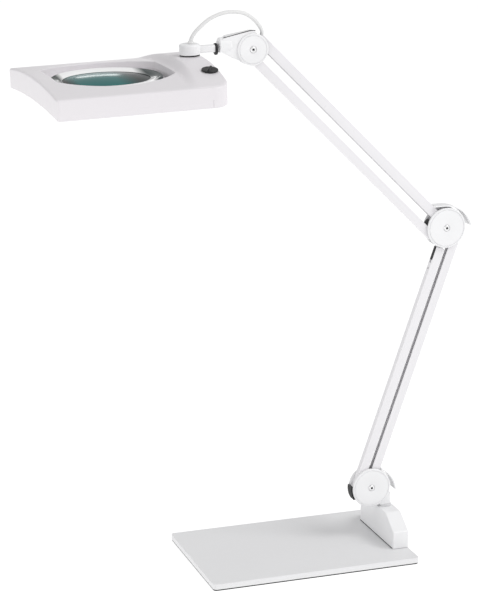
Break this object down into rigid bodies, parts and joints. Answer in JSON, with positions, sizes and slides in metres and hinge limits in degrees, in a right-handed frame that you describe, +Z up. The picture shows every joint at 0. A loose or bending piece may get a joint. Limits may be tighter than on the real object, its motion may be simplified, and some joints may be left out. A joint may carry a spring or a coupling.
{
  "type": "magnifying lamp",
  "caption": "Desk magnifying lamp on a flat base plate: balanced double-bar arms with round joints, a jointed head with a round lens and a ring light, a dimmer and a cable loop.",
  "frame": {"origin": "centre of the base plate on the floor, at the bottom of the pad", "axes": "+Z up, +X along the base plate towards the post, +Y towards the back of the lamp; the arms lie in the XZ plane and the head reaches towards -X"},
  "size_m": [0.6926, 0.2964, 0.8595],
  "materials": {
    "rubber": "matt",
    "base_paint": "satin powder coat",
    "joint_plastic": "satin moulded",
    "collar_plastic": "moulded",
    "bar_paint": "satin paint on thin channel",
    "screw_steel": "bright",
    "head_plastic": "satin moulded",
    "bezel_plastic": "gloss",
    "lens_glass": "polished",
    "diffuser_plastic": "frosted",
    "knob_plastic": "moulded",
    "cord_jacket": "flexible jacket"
  },
  "bodies": {
    "base": {"base_pad": "rubber", "base_plate": "base_paint", "post_bracket": "joint_plastic", "cord_gland": "rubber", "swivel_collar": "collar_plastic"},
    "lower_hub_turret": {"lower_hub": "joint_plastic", "lower_hub_cover_front": "joint_plastic", "lower_hub_cover_back": "joint_plastic", "lower_hub_screw_front": "screw_steel", "lower_hub_screw_back": "screw_steel", "lower_hub_stop": "rubber"},
    "lower_right_arm": {"lower_bar_right": "bar_paint", "lower_guard": "joint_plastic"},
    "lower_left_arm": {"lower_bar_left": "bar_paint"},
    "elbow": {"elbow_hub": "joint_plastic", "elbow_hub_cover_front": "joint_plastic", "elbow_hub_cover_back": "joint_plastic", "elbow_hub_screw_front": "screw_steel", "elbow_hub_screw_back": "screw_steel"},
    "upper_top_arm": {"upper_bar_top": "bar_paint", "elbow_guard": "joint_plastic"},
    "upper_bottom_arm": {"upper_bar_bottom": "bar_paint", "elbow_stop": "rubber"},
    "head_joint": {"head_hub": "joint_plastic", "head_hub_cover_front": "joint_plastic", "head_hub_cover_back": "joint_plastic", "head_hub_screw_front": "screw_steel", "head_hub_screw_back": "screw_steel"},
    "yoke": {"tilt_yoke": "joint_plastic", "roll_ring": "rubber"},
    "swivel_mount": {"swivel_arm": "joint_plastic", "cord_grommet": "cord_jacket", "head_cord": "cord_jacket"},
    "head": {"swivel_pin": "screw_steel", "swivel_washer": "rubber", "head_top_shell": "head_plastic", "head_bottom_panel": "head_plastic", "lens_bezel": "bezel_plastic", "lens": "lens_glass", "light_diffuser": "diffuser_plastic"},
    "dimmer": {"dimmer_knob": "knob_plastic"}
  },
  "joints": [
    {"name": "base_swivel", "type": "hinge", "parent": "base", "child": "lower_hub_turret", "pos_m": [0.1555, 0, 0.0636], "axis": [0, 0, 1], "range_deg": [-170, 170]},
    {"name": "lower_tilt", "type": "hinge", "parent": "lower_hub_turret", "child": "lower_right_arm", "pos_m": [0.1288, 0, 0.0949], "axis": [0, -1, 0], "range_deg": [-8, 38]},
    {"name": "lower_link", "type": "hinge", "parent": "lower_hub_turret", "child": "lower_left_arm", "pos_m": [0.1028, 0, 0.0949], "axis": [0, -1, 0], "range_deg": [-8, 38]},
    {"name": "elbow_level", "type": "hinge", "parent": "lower_right_arm", "child": "elbow", "pos_m": [0.2735, 0, 0.5097], "axis": [0, -1, 0], "range_deg": [-38, 8]},
    {"name": "upper_tilt", "type": "hinge", "parent": "elbow", "child": "upper_top_arm", "pos_m": [0.2475, 0, 0.5097], "axis": [0, -1, 0], "range_deg": [-35, 24]},
    {"name": "upper_link", "type": "hinge", "parent": "elbow", "child": "upper_bottom_arm", "pos_m": [0.2279, 0, 0.4969], "axis": [0, -1, 0], "range_deg": [-35, 24]},
    {"name": "head_level", "type": "hinge", "parent": "upper_top_arm", "child": "head_joint", "pos_m": [-0.06035, 0, 0.8132], "axis": [0, -1, 0], "range_deg": [-24, 35]},
    {"name": "head_tilt", "type": "hinge", "parent": "head_joint", "child": "yoke", "pos_m": [-0.072, 0, 0.8014], "axis": [0, -1, 0], "range_deg": [-25, 40], "deforming": ["head_cord"]},
    {"name": "head_roll", "type": "hinge", "parent": "yoke", "child": "swivel_mount", "pos_m": [-0.11951, 0, 0.80383], "axis": [0.9995, 0, 0.0332], "range_deg": [-45, 45], "deforming": ["head_cord"]},
    {"name": "head_swivel", "type": "hinge", "parent": "swivel_mount", "child": "head", "pos_m": [-0.16688, 0, 0.80226], "axis": [-0.0332, -0.014, 0.9994], "range_deg": [-50, 50]},
    {"name": "dimmer_turn", "type": "hinge", "parent": "head", "child": "dimmer", "pos_m": [-0.16583, -0.09178, 0.78577], "axis": [-0.0325, -0.1938, 0.9805], "range_deg": [-135, 135]}
  ],
  "couplings": [
    {"joint": "lower_link", "follows": "lower_tilt", "ratio": 1},
    {"joint": "elbow_level", "follows": "lower_tilt", "ratio": -1},
    {"joint": "upper_link", "follows": "upper_tilt", "ratio": 1},
    {"joint": "head_level", "follows": "upper_tilt", "ratio": -1}
  ]
}
